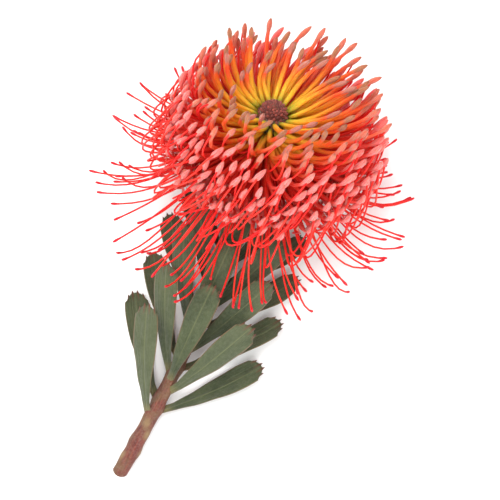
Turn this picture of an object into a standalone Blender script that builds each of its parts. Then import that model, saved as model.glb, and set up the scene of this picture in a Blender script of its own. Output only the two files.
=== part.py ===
"""Pincushion protea: one cut flower stem lying on a table, with its head turned up.

Frame: +Z up, +Y from the cut end towards the head, origin on the table under the
middle of the whole flower. Lengths are in metres and angles in radians.
The head is built about its own axis, standing up, and then leans on an empty.
"""

import math

import bmesh
import bpy
from mathutils import Matrix, Vector

# The stem lies along Y and its neck bends up to carry the head.
HEAD_LEAN = math.radians(30)
HEAD_BASE_HEIGHT = 0.033
NECK_BEND_RADIUS = 0.050
STEM_STRAIGHT_LENGTH = 0.130
STEM_SIDE_BOW = -0.010
STEM_CUT_RADIUS = 0.0038
STEM_MID_RADIUS = 0.0030
STEM_TOP_RADIUS = 0.0035
STEM_NARROWEST_SHARE = 0.3
STEM_TOP_GAP = 0.0008
STEM_CUT_SLANT = math.radians(38)

# The receptacle is a blunt cone; florets sit round it in tiers, youngest on top.
RECEPTACLE_HEIGHT = 0.0262
RECEPTACLE_BASE_RADIUS = 0.0088
RECEPTACLE_TOP_RADIUS = 0.0066
CROWN_RADIUS = 0.0068
CROWN_HEIGHT = 0.0058

GAP = 0.0004
ROUND_STEPS = 24
FLORET_SWIRL = math.radians(9)
# How far a floret keeps its direction at each end, as a share of its reach.
PULL_AT_BASE = 0.42
PULL_AT_TIP = 0.40
# A basal strip runs past its end florets by this share of their spacing.
STRIP_OVERHANG = 0.3
STRIP_THICKENING = 1.05

# Leaves: oblong, broadest above the middle, three blunt teeth at the tip.
NECK_LEAVES = 4
NECK_LEAF_START = 0.024
NECK_LEAF_STEP = 0.0118
STEM_LEAVES = 19
LEAF_LENGTH = 0.054
LEAF_WIDTH = 0.0135
LEAF_THICKNESS = 0.0009
LEAF_STEM_GAP = 0.0007
LEAF_TOOTH = 0.0016
LEAF_FOOT_SHARE = 0.24
LEAF_ARCH = 0.05
LEAF_CUPPING = 0.10
LEAF_SPREAD = math.radians(24)
LEAF_EXTRA_SPREAD_SIDEWAYS = math.radians(14)
LEAF_EXTRA_SPREAD_NEAR_HEAD = math.radians(28)
LEAF_FLATTENING_SIDEWAYS = 0.72
NECK_CLEAR_DISTANCE = 0.055
NECK_CROWDED_LENGTH = 0.033
NECK_LEAF_TURN = math.radians(32)
NECK_LEAF_SCALE = 0.72
NECK_LEAF_SCALE_STEP = 0.02
STEM_LEAF_START = 0.066
STEM_LEAF_END = 0.150

RED = (0.80, 0.06, 0.03, 1)
CORAL = (0.86, 0.13, 0.05, 1)
ORANGE = (0.90, 0.26, 0.04, 1)
YELLOW = (0.88, 0.45, 0.05, 1)
LEAF_GREEN = (0.11, 0.17, 0.08, 1)
BARK = (0.25, 0.10, 0.07, 1)
WOOL_GREY = (0.42, 0.28, 0.24, 1)
WOOL_BROWN = (0.17, 0.06, 0.05, 1)

# Each tier: name, groups, florets per group, base (radius, height), angle at the base,
# tip (radius, height), angle at the tip, tube radius, colour.
FLORET_TIERS = [
    ("crown_florets", 3, 4, (0.0083, 0.0256), 34, (0.029, 0.0480), 58, 0.00130, YELLOW),
    ("inner_florets", 4, 5, (0.0088, 0.0220), 20, (0.0375, 0.0540), 66, 0.00125, YELLOW),
    ("upper_florets", 4, 6, (0.0093, 0.0186), 8, (0.0455, 0.0465), 76, 0.00105, ORANGE),
    ("middle_florets", 4, 7, (0.0098, 0.0152), -2, (0.051, 0.0350), 84, 0.00090, CORAL),
    ("lower_florets", 4, 7, (0.0101, 0.0118), -11, (0.0535, 0.0210), 90, 0.00090, RED),
    ("outer_florets", 4, 7, (0.0104, 0.0084), -19, (0.0525, 0.0055), 92, 0.00090, RED),
]
CLUB_RADIUS = 0.0016
CLUB_TIP_RADIUS = 0.0007
NECK_NARROWING = 0.85
# Share of the floret's length and the part of its outline found there.
FLORET_STATIONS = [
    (0.0, "tube"),
    (0.25, "tube"),
    (0.54, "tube"),
    (0.82, "neck"),
    (0.92, "club"),
    (1.0, "tip"),
]

# Opened florets: the style has sprung free and is a long bare wire.
STYLE_GROUPS = 4
STYLES_PER_GROUP = 8
STYLE_BASE = (0.0106, 0.0048)
STYLE_BASE_ANGLE = -24
STYLE_REACH = 0.073
STYLE_TIP_HEIGHT_FRONT = -0.002
STYLE_TIP_HEIGHT_BACK = -0.034
STYLE_TIP_ANGLE = 26
STYLE_RADIUS = 0.0005
STYLE_END_RADIUS = 0.0007
STYLE_STRIP_RADIUS = 0.0008
STYLE_STATIONS = 7


def clear_scene():
    for obj in list(bpy.data.objects):
        bpy.data.objects.remove(obj)


def material(name, colour, roughness):
    made = bpy.data.materials.new(name)
    made.use_nodes = True
    shader = made.node_tree.nodes["Principled BSDF"]
    shader.inputs["Base Color"].default_value = colour
    shader.inputs["Roughness"].default_value = roughness
    shader.inputs["Metallic"].default_value = 0.0
    return made


def add_object(name, data, parent, finish):
    obj = bpy.data.objects.new(name, data)
    PARTS.objects.link(obj)
    obj.parent = parent
    obj.data.materials.append(finish)
    return obj


def bezier(start, out, into, end, share):
    """A point on a cubic curve from start to end."""
    left = 1 - share
    return (
        start * left**3
        + out * 3 * left * left * share
        + into * 3 * left * share * share
        + end * share**3
    )


def above_table(height, clearance):
    """Height eased upwards so that what would sink into the table lies along it."""
    softness = 0.0010
    above = (height - clearance) / softness
    if above > 30:
        return height
    return clearance + softness * math.log1p(math.exp(above))


def tube_mesh(name, points, radii, sides_beyond_four=0):
    """A closed mesh made from a bevelled curve through the points."""
    curve = bpy.data.curves.new(name, "CURVE")
    curve.dimensions = "3D"
    curve.bevel_depth = 1.0
    curve.bevel_resolution = sides_beyond_four
    curve.use_fill_caps = True
    spline = curve.splines.new("POLY")
    spline.points.add(len(points) - 1)
    for spot, place, radius in zip(spline.points, points, radii):
        spot.co = (*place, 1)
        spot.radius = radius
    guide = bpy.data.objects.new(name + "_guide", curve)
    PARTS.objects.link(guide)
    graph = bpy.context.evaluated_depsgraph_get()
    mesh = bpy.data.meshes.new_from_object(guide.evaluated_get(graph))
    bpy.data.objects.remove(guide)
    shape = bmesh.new()
    shape.from_mesh(mesh)
    bmesh.ops.remove_doubles(shape, verts=shape.verts, dist=1e-6)
    shape.to_mesh(mesh)
    shape.free()
    return mesh


# ---------------------------------------------------------------- stem


def stem_length():
    return NECK_BEND_RADIUS * (math.pi / 2 - HEAD_LEAN) + STEM_STRAIGHT_LENGTH


def stem_place(distance):
    """Centre of the stem at a distance below the head's base, measured along it."""
    top_angle = math.pi / 2 - HEAD_LEAN
    bend_length = NECK_BEND_RADIUS * top_angle
    angle = max(top_angle - distance / NECK_BEND_RADIUS, 0.0)
    y = -NECK_BEND_RADIUS * (math.sin(top_angle) - math.sin(angle))
    z = HEAD_BASE_HEIGHT - NECK_BEND_RADIUS * (math.cos(angle) - math.cos(top_angle))
    beyond = max(distance - bend_length, 0.0)
    share = beyond / STEM_STRAIGHT_LENGTH
    sink = (z - STEM_CUT_RADIUS) * share
    return Vector((STEM_SIDE_BOW * share**2, y - beyond, z - sink))


def stem_radius(distance):
    share = distance / stem_length()
    narrowest = STEM_NARROWEST_SHARE
    if share < narrowest:
        return STEM_TOP_RADIUS + (STEM_MID_RADIUS - STEM_TOP_RADIUS) * share / narrowest
    widening = (share - narrowest) / (1 - narrowest)
    return STEM_MID_RADIUS + (STEM_CUT_RADIUS - STEM_MID_RADIUS) * widening


def stem_direction(distance):
    """Unit vector along the stem, towards the head."""
    step = 0.002
    return (stem_place(distance - step) - stem_place(distance + step)).normalized()


def make_stem(parent):
    steps = 18
    cut_allowance = 0.012
    # The top end stays a gap below the receptacle.
    reach = stem_length() + cut_allowance - STEM_TOP_GAP
    lengths = [STEM_TOP_GAP + reach * i / steps for i in range(steps + 1)]
    mesh = tube_mesh(
        "stem",
        [stem_place(distance) for distance in lengths],
        [stem_radius(distance) for distance in lengths],
        sides_beyond_four=3,
    )
    stem = add_object("stem", mesh, parent, material("stem_bark", BARK, 0.6))
    # A slanting blade takes off the end.
    cutter_size = 0.04
    cutter_mesh = bpy.data.meshes.new("cut_blade")
    shape = bmesh.new()
    bmesh.ops.create_cube(shape, size=cutter_size)
    shape.to_mesh(cutter_mesh)
    shape.free()
    cutter = bpy.data.objects.new("cut_blade", cutter_mesh)
    CUTTERS.objects.link(cutter)
    cutter.parent = parent
    cutter.hide_render = True
    cutter.display_type = "WIRE"
    away = -stem_direction(stem_length())
    facing = Matrix.Rotation(STEM_CUT_SLANT, 3, "X") @ away
    turn = facing.to_track_quat("Y", "Z")
    cutter.rotation_mode = "QUATERNION"
    cutter.rotation_quaternion = turn
    cutter.location = stem_place(stem_length()) + facing * cutter_size / 2
    slice_off = stem.modifiers.new("slanting_cut", "BOOLEAN")
    slice_off.operation = "DIFFERENCE"
    slice_off.object = cutter
    return stem


# ---------------------------------------------------------------- head core


def turned(name, outline, parent, finish, closed=False):
    """A solid turned about the head's axis; the outline runs down its outer side."""
    mesh = bpy.data.meshes.new(name)
    shape = bmesh.new()
    corners = [shape.verts.new((radius, 0, height)) for radius, height in outline]
    for first, second in zip(corners, corners[1:]):
        shape.edges.new((first, second))
    if closed:
        shape.edges.new((corners[-1], corners[0]))
    shape.to_mesh(mesh)
    shape.free()
    obj = add_object(name, mesh, parent, finish)
    screw = obj.modifiers.new("turn", "SCREW")
    screw.steps = ROUND_STEPS
    screw.render_steps = ROUND_STEPS
    screw.use_merge_vertices = True
    screw.merge_threshold = 0.00001
    return obj


def make_receptacle(parent):
    outline = [
        (0, RECEPTACLE_HEIGHT),
        (RECEPTACLE_TOP_RADIUS, RECEPTACLE_HEIGHT),
        (RECEPTACLE_BASE_RADIUS, 0.004),
        (RECEPTACLE_BASE_RADIUS - 0.001, 0.001),
        (0.006, 0.0),
        (0, 0),
    ]
    turned("receptacle", outline, parent, material("receptacle_wood", WOOL_BROWN, 0.8))


def make_crown(parent):
    """The woolly button of unopened buds in the middle of the head."""
    bottom = RECEPTACLE_HEIGHT + GAP
    steps = 6
    outline = []
    for i in range(steps + 1):
        angle = math.pi / 2 * (1 - i / steps)
        radius = CROWN_RADIUS * math.cos(angle) if i else 0
        outline.append((radius, bottom + CROWN_HEIGHT * math.sin(angle)))
    outline.append((0, bottom))
    turned("crown_button", outline, parent, material("crown_wool", WOOL_BROWN, 0.9))


def make_involucre(parent):
    """The cup of small bracts between the stem and the florets."""
    hole = STEM_TOP_RADIUS + 2 * GAP
    inside = RECEPTACLE_BASE_RADIUS + GAP
    outline = [
        (inside + 0.0004, 0.0025),
        (inside + 0.0022, 0.0019),
        (inside + 0.0008, -0.0018),
        (0.0070, -0.0052),
        (hole + 0.0006, -0.0075),
        (hole, -0.0070),
        (hole, -0.0006),
        (inside - 0.0022, -0.0006),
        (inside, 0.0010),
    ]
    finish = material("bract_wool", WOOL_GREY, 0.9)
    turned("involucre", outline, parent, finish, closed=True)


# ---------------------------------------------------------------- florets


def in_head(radius, height, azimuth):
    """A point of the head; azimuth 0 is the side that leans down to the table."""
    return Vector((radius * math.sin(azimuth), radius * math.cos(azimuth), height))


def eased_onto_table(place, clearance):
    """The same point, no lower than the table once the head leans."""
    world = HEAD_MATRIX @ place
    world.z = above_table(world.z, clearance)
    return HEAD_MATRIX.inverted() @ world


def profile_point(base, base_angle, tip, tip_angle, share):
    """Radius and height along a floret that leaves the receptacle and turns up."""
    start = Vector(base)
    end = Vector(tip)
    reach = (end - start).length
    leaving = math.radians(base_angle)
    arriving = math.radians(tip_angle)
    out = start + Vector((math.cos(leaving), math.sin(leaving))) * reach * PULL_AT_BASE
    into = end - Vector((math.cos(arriving), math.sin(arriving))) * reach * PULL_AT_TIP
    return bezier(start, out, into, end, share)


def join_group(name, pieces, parent, finish):
    """One solid from a basal strip and the florets that grow from it."""
    strip = bpy.data.objects.new(name + "_strip", pieces[0])
    CUTTERS.objects.link(strip)
    florets = bpy.data.collections.new(name + "_pieces")
    CUTTERS.children.link(florets)
    for mesh in pieces[1:]:
        florets.objects.link(bpy.data.objects.new(name + "_piece", mesh))
    union = strip.modifiers.new("grown_together", "BOOLEAN")
    union.operation = "UNION"
    union.operand_type = "COLLECTION"
    union.collection = florets
    graph = bpy.context.evaluated_depsgraph_get()
    joined = bpy.data.meshes.new_from_object(strip.evaluated_get(graph))
    for helper in (strip, *florets.objects):
        bpy.data.objects.remove(helper)
    bpy.data.collections.remove(florets)
    return add_object(name, joined, parent, finish)


def basal_strip(name, base, azimuths, spacing, radius):
    """The short arc of tissue that a group of florets grows from."""
    start = azimuths[0] - spacing * STRIP_OVERHANG
    end = azimuths[-1] + spacing * STRIP_OVERHANG
    steps = len(azimuths)
    arc = [start + (end - start) * i / steps for i in range(steps + 1)]
    places = [in_head(base[0], base[1], azimuth) for azimuth in arc]
    return tube_mesh(name, places, [radius] * len(places))


def make_floret_tier(tier, index, parent):
    name, groups, per_group, base, base_angle, tip, tip_angle, tube_radius, colour = tier
    finish = material(name, colour, 0.5)
    spacing = 2 * math.pi / (groups * per_group)
    outline_radius = {
        "tube": tube_radius,
        "neck": tube_radius * NECK_NARROWING,
        "club": CLUB_RADIUS,
        "tip": CLUB_TIP_RADIUS,
    }
    for group in range(groups):
        first = spacing * (group * per_group + 0.5 * (index % 2))
        azimuths = [first + spacing * i for i in range(per_group)]
        group_name = f"{name}_{'abcdefgh'[group]}"
        pieces = [basal_strip(group_name, base, azimuths, spacing, tube_radius * STRIP_THICKENING)]
        for azimuth in azimuths:
            places = []
            for share, _ in FLORET_STATIONS:
                spot = profile_point(base, base_angle, tip, tip_angle, share)
                place = in_head(spot.x, spot.y, azimuth + FLORET_SWIRL * share)
                places.append(eased_onto_table(place, CLUB_RADIUS))
            radii = [outline_radius[part] for _, part in FLORET_STATIONS]
            pieces.append(tube_mesh(group_name, places, radii))
        join_group(group_name, pieces, parent, finish)


def make_open_styles(parent):
    finish = material("open_styles", RED, 0.4)
    spacing = 2 * math.pi / (STYLE_GROUPS * STYLES_PER_GROUP)
    for group in range(STYLE_GROUPS):
        first = spacing * (group * STYLES_PER_GROUP + 0.25)
        azimuths = [first + spacing * i for i in range(STYLES_PER_GROUP)]
        name = f"open_styles_{'abcd'[group]}"
        pieces = [basal_strip(name, STYLE_BASE, azimuths, spacing, STYLE_STRIP_RADIUS)]
        for azimuth in azimuths:
            front = (1 + math.cos(azimuth)) / 2
            tip_height = (
                STYLE_TIP_HEIGHT_BACK + (STYLE_TIP_HEIGHT_FRONT - STYLE_TIP_HEIGHT_BACK) * front
            )
            places = []
            for step in range(STYLE_STATIONS):
                share = step / (STYLE_STATIONS - 1)
                spot = profile_point(
                    STYLE_BASE,
                    STYLE_BASE_ANGLE,
                    (STYLE_REACH, tip_height),
                    STYLE_TIP_ANGLE * front,
                    share,
                )
                place = in_head(spot.x, spot.y, azimuth + FLORET_SWIRL * share)
                places.append(eased_onto_table(place, STYLE_END_RADIUS))
            radii = [STYLE_RADIUS] * (STYLE_STATIONS - 2) + [STYLE_END_RADIUS, STYLE_RADIUS]
            pieces.append(tube_mesh(name, places, radii))
        join_group(name, pieces, parent, finish)


# ---------------------------------------------------------------- leaves


def leaf_half_width(share):
    """Half the blade's width: a narrow foot, broadest three quarters of the way up."""
    lateness = 1.35
    fullness = 0.72
    swell = math.sin(math.pi * min(share, 1.0) ** lateness * fullness)
    return LEAF_WIDTH / 2 * (LEAF_FOOT_SHARE + (1 - LEAF_FOOT_SHARE) * max(swell, 0.0))


def closeness_to_head(distance):
    """1 for a leaf right under the head, 0 from the end of the neck down."""
    return min(max((NECK_CLEAR_DISTANCE - distance) / NECK_CROWDED_LENGTH, 0.0), 1.0)


def leaf_frame(distance, around):
    """Where a leaf leaves the stem: place, its direction, width and face vectors."""
    along = stem_direction(distance)
    up = (Vector((0, 0, 1)) - along * along.z).normalized()
    side = along.cross(up)
    outward = up * math.cos(around) + side * math.sin(around)
    sideways = abs(math.sin(around))
    spread = LEAF_SPREAD + LEAF_EXTRA_SPREAD_SIDEWAYS * sideways
    spread += LEAF_EXTRA_SPREAD_NEAR_HEAD * closeness_to_head(distance)
    direction = along * math.cos(spread) + outward * math.sin(spread)
    across = along.cross(outward).normalized()
    flat = direction.cross(Vector((0, 0, 1))).normalized()
    if flat.dot(across) < 0:
        flat = -flat
    flattened = LEAF_FLATTENING_SIDEWAYS * sideways
    across = (across * (1 - flattened) + flat * flattened).normalized()
    across = (across - direction * across.dot(direction)).normalized()
    face = direction.cross(across)
    if face.dot(outward) < 0:
        face = -face
    out = stem_radius(distance) + LEAF_STEM_GAP + LEAF_THICKNESS / 2
    return stem_place(distance) + outward * out, direction, across, face


def make_leaf(name, distance, around, scale, parent, finish):
    rows, columns = 5, 4
    place, direction, across, face = leaf_frame(distance, around)
    mesh = bpy.data.meshes.new(name)
    shape = bmesh.new()
    bmesh.ops.create_grid(shape, x_segments=columns, y_segments=rows, size=0.5)
    for vert in shape.verts:
        share = vert.co.y + 0.5
        side = vert.co.x * 2
        half = leaf_half_width(share) * scale
        along = LEAF_LENGTH * scale * share
        column = round((side + 1) / 2 * columns)
        if share > 0.99:
            # The tip's edge: teeth at the even columns, notches between, rounded off.
            along += LEAF_TOOTH * (0.4 if column % 2 == 0 else -0.9)
            along -= LEAF_TOOTH * 1.6 * abs(side)
        cupping = LEAF_CUPPING * half * side * side
        arch = LEAF_ARCH * LEAF_LENGTH * math.sin(math.pi * share)
        spot = place + direction * along + across * (side * half) + face * (arch - cupping)
        spot.z = above_table(spot.z, LEAF_THICKNESS)
        vert.co = spot
    shape.normal_update()
    shape.to_mesh(mesh)
    shape.free()
    leaf = add_object(name, mesh, parent, finish)
    thicken = leaf.modifiers.new("blade_thickness", "SOLIDIFY")
    thicken.thickness = LEAF_THICKNESS
    thicken.offset = 0
    return leaf


def make_leaves(parent):
    finish = material("leaf", LEAF_GREEN, 0.6)
    # On the neck the leaves are turned out and down, clear of the florets.
    for number in range(NECK_LEAVES):
        distance = NECK_LEAF_START + NECK_LEAF_STEP * number
        side = 1 if number % 2 == 0 else -1
        around = side * (math.pi / 2 + NECK_LEAF_TURN * closeness_to_head(distance))
        name = f"leaf_{number + 1:02d}"
        scale = NECK_LEAF_SCALE + NECK_LEAF_SCALE_STEP * number
        make_leaf(name, distance, around, scale, parent, finish)
    # Below it, five ranks round the upper side; the underside lies on the table.
    ranks = [math.radians(angle) for angle in (50, -94, 92, -46, 2)]
    for number in range(STEM_LEAVES):
        share = number / (STEM_LEAVES - 1)
        distance = STEM_LEAF_START + (STEM_LEAF_END - STEM_LEAF_START) * share
        scale = 0.80 + 0.20 * min(share / 0.2, 1.0)
        name = f"leaf_{NECK_LEAVES + number + 1:02d}"
        make_leaf(name, distance, ranks[number % len(ranks)], scale, parent, finish)


# ---------------------------------------------------------------- whole flower


def lowest_and_highest(objects):
    graph = bpy.context.evaluated_depsgraph_get()
    low = Vector((math.inf,) * 3)
    high = Vector((-math.inf,) * 3)
    for obj in objects:
        seen = obj.evaluated_get(graph)
        mesh = seen.to_mesh()
        for vert in mesh.vertices:
            place = seen.matrix_world @ vert.co
            low = Vector(map(min, low, place))
            high = Vector(map(max, high, place))
        seen.to_mesh_clear()
    return low, high


def add_empty(name, parent=None):
    empty = bpy.data.objects.new(name, None)
    PARTS.objects.link(empty)
    empty.parent = parent
    return empty


clear_scene()
PARTS = bpy.data.collections.new("pincushion_protea")
CUTTERS = bpy.data.collections.new("cutters")
bpy.context.scene.collection.children.link(PARTS)
bpy.context.scene.collection.children.link(CUTTERS)
HEAD_MATRIX = Matrix.Translation((0, 0, HEAD_BASE_HEIGHT)) @ Matrix.Rotation(-HEAD_LEAN, 4, "X")

flower = add_empty("whole_flower")
head = add_empty("flower_head", flower)
head.matrix_local = HEAD_MATRIX

make_stem(flower)
make_receptacle(head)
make_crown(head)
make_involucre(head)
for tier_index, floret_tier in enumerate(FLORET_TIERS):
    make_floret_tier(floret_tier, tier_index, head)
make_open_styles(head)
make_leaves(flower)

# The origin is on the table under the middle of the flower's box.
bpy.context.view_layer.update()
shown = [obj for obj in PARTS.objects if obj.type == "MESH"]
lowest, highest = lowest_and_highest(shown)
flower.location = (-(lowest.x + highest.x) / 2, -(lowest.y + highest.y) / 2, -lowest.z)
bpy.context.view_layer.update()
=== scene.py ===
"""Looks for the cut pincushion protea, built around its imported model.

Metres, +Z up. The stem lies along Y on the table, with the flower head at its +Y end
leaning on a bent neck. Each piece is made in place and rides on the one body, root.
"""

import math
import random

import bmesh
import bpy
from mathutils import Matrix, Vector, noise


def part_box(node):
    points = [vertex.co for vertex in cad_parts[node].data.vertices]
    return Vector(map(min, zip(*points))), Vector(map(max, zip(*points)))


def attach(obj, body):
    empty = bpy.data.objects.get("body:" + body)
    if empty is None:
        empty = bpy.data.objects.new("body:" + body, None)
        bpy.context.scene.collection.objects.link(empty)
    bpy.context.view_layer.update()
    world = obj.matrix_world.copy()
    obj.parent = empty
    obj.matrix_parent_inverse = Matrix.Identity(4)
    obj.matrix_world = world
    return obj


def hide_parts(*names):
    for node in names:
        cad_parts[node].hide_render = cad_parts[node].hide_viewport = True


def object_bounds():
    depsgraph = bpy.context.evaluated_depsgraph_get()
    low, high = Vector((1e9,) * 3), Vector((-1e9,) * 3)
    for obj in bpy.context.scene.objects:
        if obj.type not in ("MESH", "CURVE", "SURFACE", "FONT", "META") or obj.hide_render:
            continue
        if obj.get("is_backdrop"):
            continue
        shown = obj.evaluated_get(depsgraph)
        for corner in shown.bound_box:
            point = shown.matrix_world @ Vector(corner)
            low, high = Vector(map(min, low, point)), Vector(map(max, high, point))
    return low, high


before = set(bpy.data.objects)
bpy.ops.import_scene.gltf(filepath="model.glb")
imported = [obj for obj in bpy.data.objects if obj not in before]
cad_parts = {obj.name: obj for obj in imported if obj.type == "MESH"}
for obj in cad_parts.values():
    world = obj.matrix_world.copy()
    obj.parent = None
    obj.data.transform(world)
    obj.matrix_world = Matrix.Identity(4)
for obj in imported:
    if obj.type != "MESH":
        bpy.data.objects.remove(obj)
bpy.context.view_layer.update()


# ---------------- stem
# A woody flowering stem, maroon under a grey bloom, swollen under each leaf. It lies on
# the table, bends up at the neck, and ends in a slanting cut that shows wood and pith.

HEAD_LEAN = math.radians(30)
HEAD_BASE_HEIGHT = 0.033
RECEPTACLE_HEIGHT = 0.0262
RECEPTACLE_TOP_RADIUS = 0.0066
NECK_BEND_RADIUS = 0.050
STEM_STRAIGHT_LENGTH = 0.130
STEM_SIDE_BOW = -0.010
STEM_CUT_RADIUS = 0.0038
STEM_MID_RADIUS = 0.0030
STEM_TOP_RADIUS = 0.0035
STEM_NARROWEST_SHARE = 0.3
STEM_TOP_GAP = 0.0008
STEM_CUT_SLANT = math.radians(38)
NECK_LEAVES = 4
NECK_LEAF_START = 0.024
NECK_LEAF_STEP = 0.0118
NECK_LEAF_TURN = math.radians(32)
NECK_CLEAR_DISTANCE = 0.055
NECK_CROWDED_LENGTH = 0.033
STEM_LEAVES = 19
STEM_LEAF_START = 0.066
STEM_LEAF_END = 0.150
LEAF_RANKS = [math.radians(angle) for angle in (50, -94, 92, -46, 2)]

# The receptacle's top disc is the highest and furthest part of its box.
core_low, core_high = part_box("receptacle")
lean_sine = math.sin(HEAD_LEAN)
lean_cosine = math.cos(HEAD_LEAN)
head_base = Vector((
    (core_low.x + core_high.x) / 2,
    core_high.y - RECEPTACLE_HEIGHT * lean_sine - RECEPTACLE_TOP_RADIUS * lean_cosine,
    core_high.z - RECEPTACLE_HEIGHT * lean_cosine - RECEPTACLE_TOP_RADIUS * lean_sine,
))
head_matrix = Matrix.Translation(head_base) @ Matrix.Rotation(-HEAD_LEAN, 4, "X")
model_shift = head_base - Vector((0, 0, HEAD_BASE_HEIGHT))


def stem_length():
    return NECK_BEND_RADIUS * (math.pi / 2 - HEAD_LEAN) + STEM_STRAIGHT_LENGTH


def stem_place(distance):
    """Centre of the stem at a distance below the head's base, measured along it."""
    top_angle = math.pi / 2 - HEAD_LEAN
    bend_length = NECK_BEND_RADIUS * top_angle
    angle = max(top_angle - distance / NECK_BEND_RADIUS, 0.0)
    y = -NECK_BEND_RADIUS * (math.sin(top_angle) - math.sin(angle))
    z = HEAD_BASE_HEIGHT - NECK_BEND_RADIUS * (math.cos(angle) - math.cos(top_angle))
    beyond = max(distance - bend_length, 0.0)
    share = beyond / STEM_STRAIGHT_LENGTH
    sink = (z - STEM_CUT_RADIUS) * share
    return model_shift + Vector((STEM_SIDE_BOW * share**2, y - beyond, z - sink))


def stem_radius(distance):
    share = distance / stem_length()
    narrowest = STEM_NARROWEST_SHARE
    if share < narrowest:
        return STEM_TOP_RADIUS + (STEM_MID_RADIUS - STEM_TOP_RADIUS) * share / narrowest
    widening = (share - narrowest) / (1 - narrowest)
    return STEM_MID_RADIUS + (STEM_CUT_RADIUS - STEM_MID_RADIUS) * widening


def stem_direction(distance):
    """Unit vector along the stem, towards the head."""
    step = 0.002
    return (stem_place(distance - step) - stem_place(distance + step)).normalized()


def closeness_to_head(distance):
    """1 for a leaf right under the head, 0 from the end of the neck down."""
    return min(max((NECK_CLEAR_DISTANCE - distance) / NECK_CROWDED_LENGTH, 0.0), 1.0)


def leaf_seats():
    """Where each leaf grows: its distance below the head and its turn round the stem."""
    seats = []
    for number in range(NECK_LEAVES):
        distance = NECK_LEAF_START + NECK_LEAF_STEP * number
        side = 1 if number % 2 == 0 else -1
        turn = math.pi / 2 + NECK_LEAF_TURN * closeness_to_head(distance)
        seats.append((distance, side * turn))
    for number in range(STEM_LEAVES):
        share = number / (STEM_LEAVES - 1)
        distance = STEM_LEAF_START + (STEM_LEAF_END - STEM_LEAF_START) * share
        seats.append((distance, LEAF_RANKS[number % len(LEAF_RANKS)]))
    return seats


def stem_outward(distance, around):
    """The direction that faces away from the stem at a turn round it, 0 being upwards."""
    along = stem_direction(distance)
    up = (Vector((0, 0, 1)) - along * along.z).normalized()
    return up * math.cos(around) + along.cross(up) * math.sin(around)


def new_shape():
    """An empty bmesh with the two surface records that every grown piece carries.

    grain is (cosine, sine, length): the turn round a part, or the place across a blade, and
    the metres along it. growth is (share of the length, mark, chance). The mark is a scar,
    a tooth, a hair, a knob, or how ripe a floret is. chance differs from part to part.
    """
    shape = bmesh.new()
    shape.verts.layers.float_vector.new("grain")
    shape.verts.layers.float_vector.new("growth")
    return shape


def surface_records(shape):
    layers = shape.verts.layers.float_vector
    return layers["grain"], layers["growth"]


def seat_at(place, facing, up):
    """A matrix that stands +Z along facing at a place, with its Y or X axis upwards."""
    return Matrix.Translation(place) @ facing.to_track_quat("Z", up).to_matrix().to_4x4()


def sweep(shape, places, radii, sides, mark=0.0, chance=0.0, shares=None):
    """Extrudes a ring along the places and closes both ends. Returns its rings.

    shares are the shares of the length to record at the places, even steps if not given.
    """
    grain, growth = surface_records(shape)
    last = len(places) - 1
    if shares is None:
        shares = [i / last for i in range(last + 1)]
    facing = (places[1] - places[0]).normalized()
    seat = seat_at(places[0], facing, "X")
    ring = bmesh.ops.create_circle(shape, segments=sides, radius=radii[0], matrix=seat)["verts"]
    for i, vert in enumerate(ring):
        turn = 2 * math.pi * i / sides
        vert[grain] = (math.cos(turn), math.sin(turn), chance)
        vert[growth] = (shares[0], mark, chance)
    edges = list(dict.fromkeys(edge for vert in ring for edge in vert.link_edges))
    first_edges = edges
    rings = [ring]
    # The length starts at chance, so that no two parts have the same fibres.
    length = chance
    for i in range(1, last + 1):
        ahead = (places[min(i + 1, last)] - places[i - 1]).normalized()
        turn = facing.rotation_difference(ahead).to_matrix().to_4x4()
        facing = ahead
        length += (places[i] - places[i - 1]).length
        pulled = bmesh.ops.extrude_edge_only(shape, edges=edges)["geom"]
        ring = [item for item in pulled if isinstance(item, bmesh.types.BMVert)]
        fresh = set(ring)
        edges = [
            item for item in pulled
            if isinstance(item, bmesh.types.BMEdge) and fresh.issuperset(item.verts)
        ]
        grow = Matrix.Diagonal((*(radii[i] / radii[i - 1],) * 3, 1))
        move = Matrix.Translation(places[i]) @ turn @ grow @ Matrix.Translation(-places[i - 1])
        bmesh.ops.transform(shape, matrix=move, verts=ring)
        for vert in ring:
            vert[grain] = (*vert[grain][:2], length)
            vert[growth] = (shares[i], mark, chance)
        rings.append(ring)
    bmesh.ops.edgeloop_fill(shape, edges=first_edges)
    bmesh.ops.edgeloop_fill(shape, edges=edges)
    return rings


def add_piece(name, shape, finishes, nodes):
    """Turns a finished bmesh into a piece of the flower that stands for CAD nodes."""
    mesh = bpy.data.meshes.new(name)
    bmesh.ops.recalc_face_normals(shape, faces=shape.faces)
    shape.to_mesh(mesh)
    shape.free()
    mesh.shade_smooth()
    for finish in finishes:
        mesh.materials.append(finish)
    piece = bpy.data.objects.new(name, mesh)
    bpy.context.scene.collection.objects.link(piece)
    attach(piece, "root")
    if nodes:
        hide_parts(*nodes)


def set_node(node, settings):
    """Sets a node's properties, and its inputs where it has no property of that name."""
    for name, value in settings.items():
        if hasattr(node, name):
            setattr(node, name, value)
        else:
            node.inputs[name.replace("_", " ")].default_value = value


def add_node(tree, kind, **settings):
    made = tree.nodes.new("ShaderNode" + kind)
    set_node(made, settings)
    return made


def feed(source, node, name):
    """Links a socket, or sets a plain value, at a node's input of this name or number."""
    if isinstance(source, bpy.types.NodeSocket):
        source.id_data.links.new(source, node.inputs[name])
    else:
        node.inputs[name].default_value = source


def new_material(name, roughness, **settings):
    """A Principled material; returns it with its node tree and its shader."""
    made = bpy.data.materials.new(name)
    made.use_nodes = True
    shader = made.node_tree.nodes["Principled BSDF"]
    set_node(shader, {"Roughness": roughness, **settings})
    return made, made.node_tree, shader


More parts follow.
